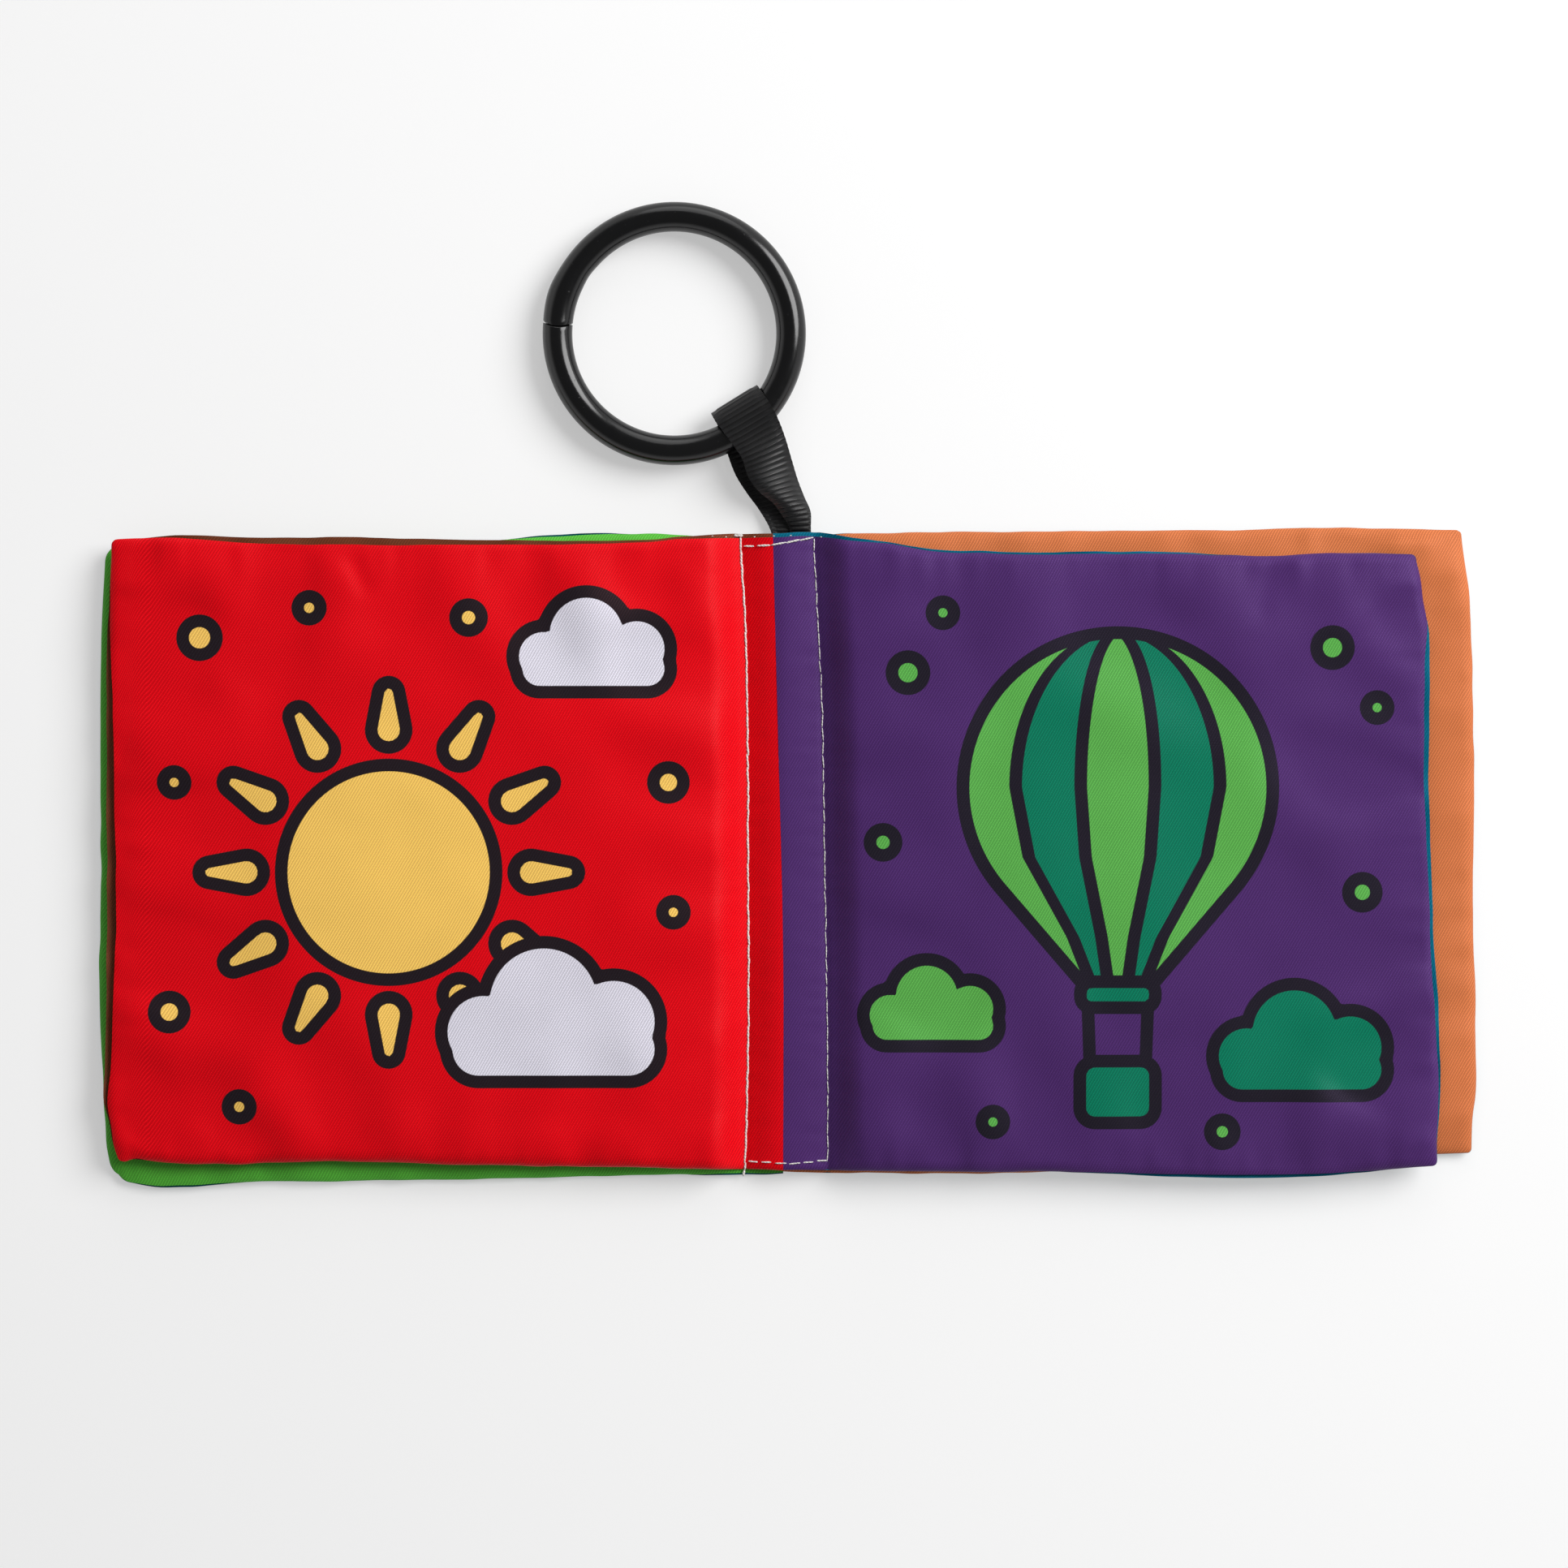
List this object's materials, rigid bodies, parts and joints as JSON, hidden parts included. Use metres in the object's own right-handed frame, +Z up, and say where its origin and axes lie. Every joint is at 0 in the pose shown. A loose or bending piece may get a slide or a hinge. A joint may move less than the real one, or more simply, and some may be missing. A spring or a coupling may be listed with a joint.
{
  "type": "soft crinkle book",
  "caption": "Soft square cloth book lying open: two padded crinkle sheets sewn together along a flat spine, with turning leaves and a split ring on a folded ribbon to hang it from.",
  "frame": {"origin": "on the surface that the open book lies on, under the middle of the whole with its ring", "axes": "+X across the open book to the right-hand leaves, +Y up the spine to the ribbon and ring, +Z up out of the open pages"},
  "size_m": [0.2751, 0.1967, 0.0082],
  "materials": {
    "red_satin": "printed polyester satin twill, soft sheen",
    "purple_satin": "printed polyester satin twill, soft sheen",
    "green_satin": "printed polyester satin twill, soft sheen",
    "orange_satin": "printed polyester satin twill, soft sheen",
    "brown_satin": "printed polyester satin twill, soft sheen",
    "blue_teal_satin": "printed polyester satin twill, soft sheen",
    "dark_teal_satin": "printed polyester satin twill, soft sheen",
    "batting": "white polyester wadding",
    "crinkle_film": "thin stiff polymer film that rustles",
    "seam_thread": "spun polyester thread",
    "white_thread": "white spun polyester lockstitch thread",
    "black_grosgrain": "black ribbed grosgrain ribbon with woven edges",
    "black_plastic": "moulded black plastic, glossy"
  },
  "bodies": {
    "spine": {"spine_inner_front_cloth": "purple_satin", "spine_inner_back_cloth": "brown_satin", "spine_outer_front_cloth": "green_satin", "spine_outer_back_cloth": "dark_teal_satin", "spine_front_stitching": "white_thread", "spine_back_stitching": "white_thread", "ribbon_root": "black_grosgrain"},
    "left_page": {"left_page_front_cloth": "red_satin", "left_page_back_cloth": "brown_satin", "left_page_batting": "batting", "left_page_crinkle_film": "crinkle_film", "left_page_seam_thread": "seam_thread"},
    "left_cover": {"left_cover_front_cloth": "green_satin", "left_cover_back_cloth": "dark_teal_satin", "left_cover_batting": "batting", "left_cover_crinkle_film": "crinkle_film", "left_cover_seam_thread": "seam_thread"},
    "right_page": {"right_page_front_cloth": "purple_satin", "right_page_back_cloth": "blue_teal_satin", "right_page_batting": "batting", "right_page_crinkle_film": "crinkle_film", "right_page_seam_thread": "seam_thread"},
    "right_cover": {"right_cover_front_cloth": "orange_satin", "right_cover_back_cloth": "dark_teal_satin", "right_cover_batting": "batting", "right_cover_crinkle_film": "crinkle_film", "right_cover_seam_thread": "seam_thread"},
    "ribbon_foot": {"ribbon_tail": "black_grosgrain"},
    "ribbon_fold": {"ribbon_loop": "black_grosgrain"},
    "ring": {"split_ring": "black_plastic"}
  },
  "joints": [
    {"name": "left_page_turn", "type": "hinge", "parent": "spine", "child": "left_page", "pos_m": [-0.00865, -0.03219, 0.0084], "axis": [0, 1, 0], "range_deg": [0, 179.9]},
    {"name": "left_cover_open", "type": "hinge", "parent": "left_page", "child": "left_cover", "pos_m": [-0.00865, -0.03219, -0.0001], "axis": [0, 1, 0], "range_deg": [-179.9, 0]},
    {"name": "right_page_turn", "type": "hinge", "parent": "spine", "child": "right_page", "pos_m": [0.00865, -0.03219, 0.0084], "axis": [0, 1, 0], "range_deg": [-179.9, 0]},
    {"name": "right_cover_open", "type": "hinge", "parent": "right_page", "child": "right_cover", "pos_m": [0.00865, -0.03219, -0.0001], "axis": [0, 1, 0], "range_deg": [0, 179.9]},
    {"name": "ribbon_swing", "type": "hinge", "parent": "spine", "child": "ribbon_foot", "pos_m": [0.002, 0.03229, 0.00225], "axis": [1, 0, 0], "range_deg": [-75, 75]},
    {"name": "ribbon_bend", "type": "hinge", "parent": "ribbon_foot", "child": "ribbon_fold", "pos_m": [-0.00184, 0.04109, 0.00225], "axis": [-0.9107, -0.4131, 0], "range_deg": [-75, 75]},
    {"name": "ring_spin", "type": "hinge", "parent": "ribbon_fold", "child": "ring", "pos_m": [-0.0219, 0.07209, 0.00385], "axis": [0, 0, 1], "continuous": true}
  ]
}
